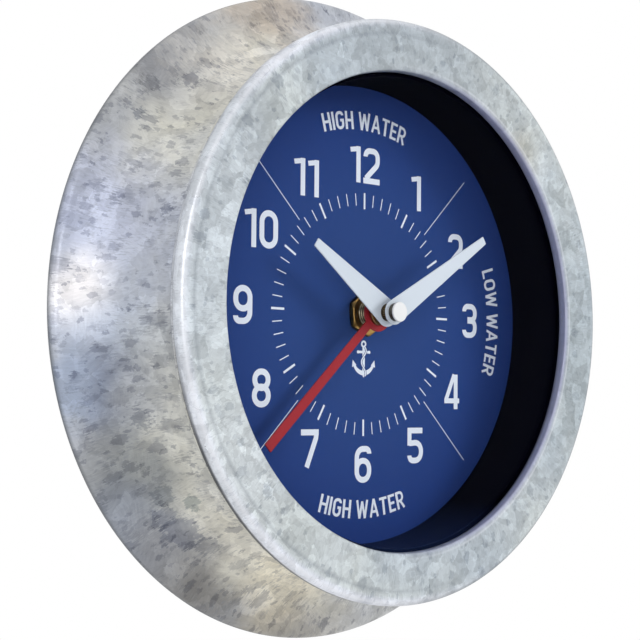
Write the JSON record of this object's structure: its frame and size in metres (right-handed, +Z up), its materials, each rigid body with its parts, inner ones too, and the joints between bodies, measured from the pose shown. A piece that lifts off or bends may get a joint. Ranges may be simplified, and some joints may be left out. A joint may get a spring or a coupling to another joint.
{
  "type": "tide clock",
  "caption": "Round wall clock with a flared galvanised case, a deep-set dial, hour and minute hands and a geared tide hand.",
  "frame": {"origin": "centre of the rolled back rim, on the wall's plane", "axes": "+Y into the wall, +Z up, +X to the right seen from the front; the dial faces -Y"},
  "size_m": [0.22, 0.048, 0.22],
  "materials": {
    "galvanised": "spangled zinc",
    "clear_glass": "clear",
    "black_plastic": "satin",
    "dial_print": "matte print",
    "brass": "turned",
    "off_white": "satin",
    "red_paint": "satin",
    "steel": "bright",
    "iron": "plain",
    "copper": "enamelled wire",
    "board": "satin",
    "white_plastic": "moulded",
    "cell_sleeve": "gloss"
  },
  "bodies": {
    "case": {"case_shell": "galvanised", "bezel_ring": "galvanised", "glass_lens": "clear_glass", "dial_sleeve": "black_plastic", "dial_plate": "dial_print", "dial_spacers": "steel", "movement_front": "black_plastic", "movement_rear": "black_plastic", "threaded_bush": "brass", "hex_nut": "brass", "train_bridge": "white_plastic", "train_pins": "steel", "battery_cell": "cell_sleeve", "battery_contacts": "steel", "stator": "iron", "drive_coil": "copper", "circuit_board": "board", "quartz_crystal": "steel"},
    "minute": {"minute_shaft": "steel", "minute_hand": "off_white", "minute_nut": "steel", "hand_cap": "off_white"},
    "motion": {"minute_wheel": "white_plastic"},
    "hour": {"hour_wheel": "brass", "hour_hand": "off_white"},
    "idler": {"tide_idler": "white_plastic"},
    "tide": {"tide_wheel": "brass", "tide_collet": "brass", "tide_hand": "red_paint"},
    "setting": {"setting_arbor": "white_plastic", "setting_knob": "black_plastic"},
    "motor": {"rotor": "iron"}
  },
  "joints": [
    {"name": "minute_spin", "type": "hinge", "parent": "case", "child": "minute", "pos_m": [0, 0, 0], "axis": [0, 1, 0], "continuous": true},
    {"name": "motion_spin", "type": "hinge", "parent": "case", "child": "motion", "pos_m": [0.005, 0, 0.00866], "axis": [0, 1, 0], "continuous": true},
    {"name": "hour_spin", "type": "hinge", "parent": "case", "child": "hour", "pos_m": [0, 0, 0], "axis": [0, 1, 0], "continuous": true},
    {"name": "idler_spin", "type": "hinge", "parent": "case", "child": "idler", "pos_m": [-0.01148, 0, 0.0061], "axis": [0, 1, 0], "continuous": true},
    {"name": "tide_spin", "type": "hinge", "parent": "case", "child": "tide", "pos_m": [0, 0, 0], "axis": [0, 1, 0], "continuous": true},
    {"name": "setting_spin", "type": "hinge", "parent": "case", "child": "setting", "pos_m": [0.01451, 0, 0.01175], "axis": [0, 1, 0], "continuous": true},
    {"name": "rotor_spin", "type": "hinge", "parent": "case", "child": "motor", "pos_m": [-0.008, 0, 0.0105], "axis": [0, 1, 0], "continuous": true}
  ],
  "couplings": [
    {"joint": "motion_spin", "follows": "minute_spin", "ratio": -0.33333},
    {"joint": "hour_spin", "follows": "minute_spin", "ratio": 0.083333},
    {"joint": "idler_spin", "follows": "minute_spin", "ratio": -0.046296},
    {"joint": "tide_spin", "follows": "minute_spin", "ratio": 0.040258},
    {"joint": "setting_spin", "follows": "minute_spin", "ratio": 1}
  ]
}
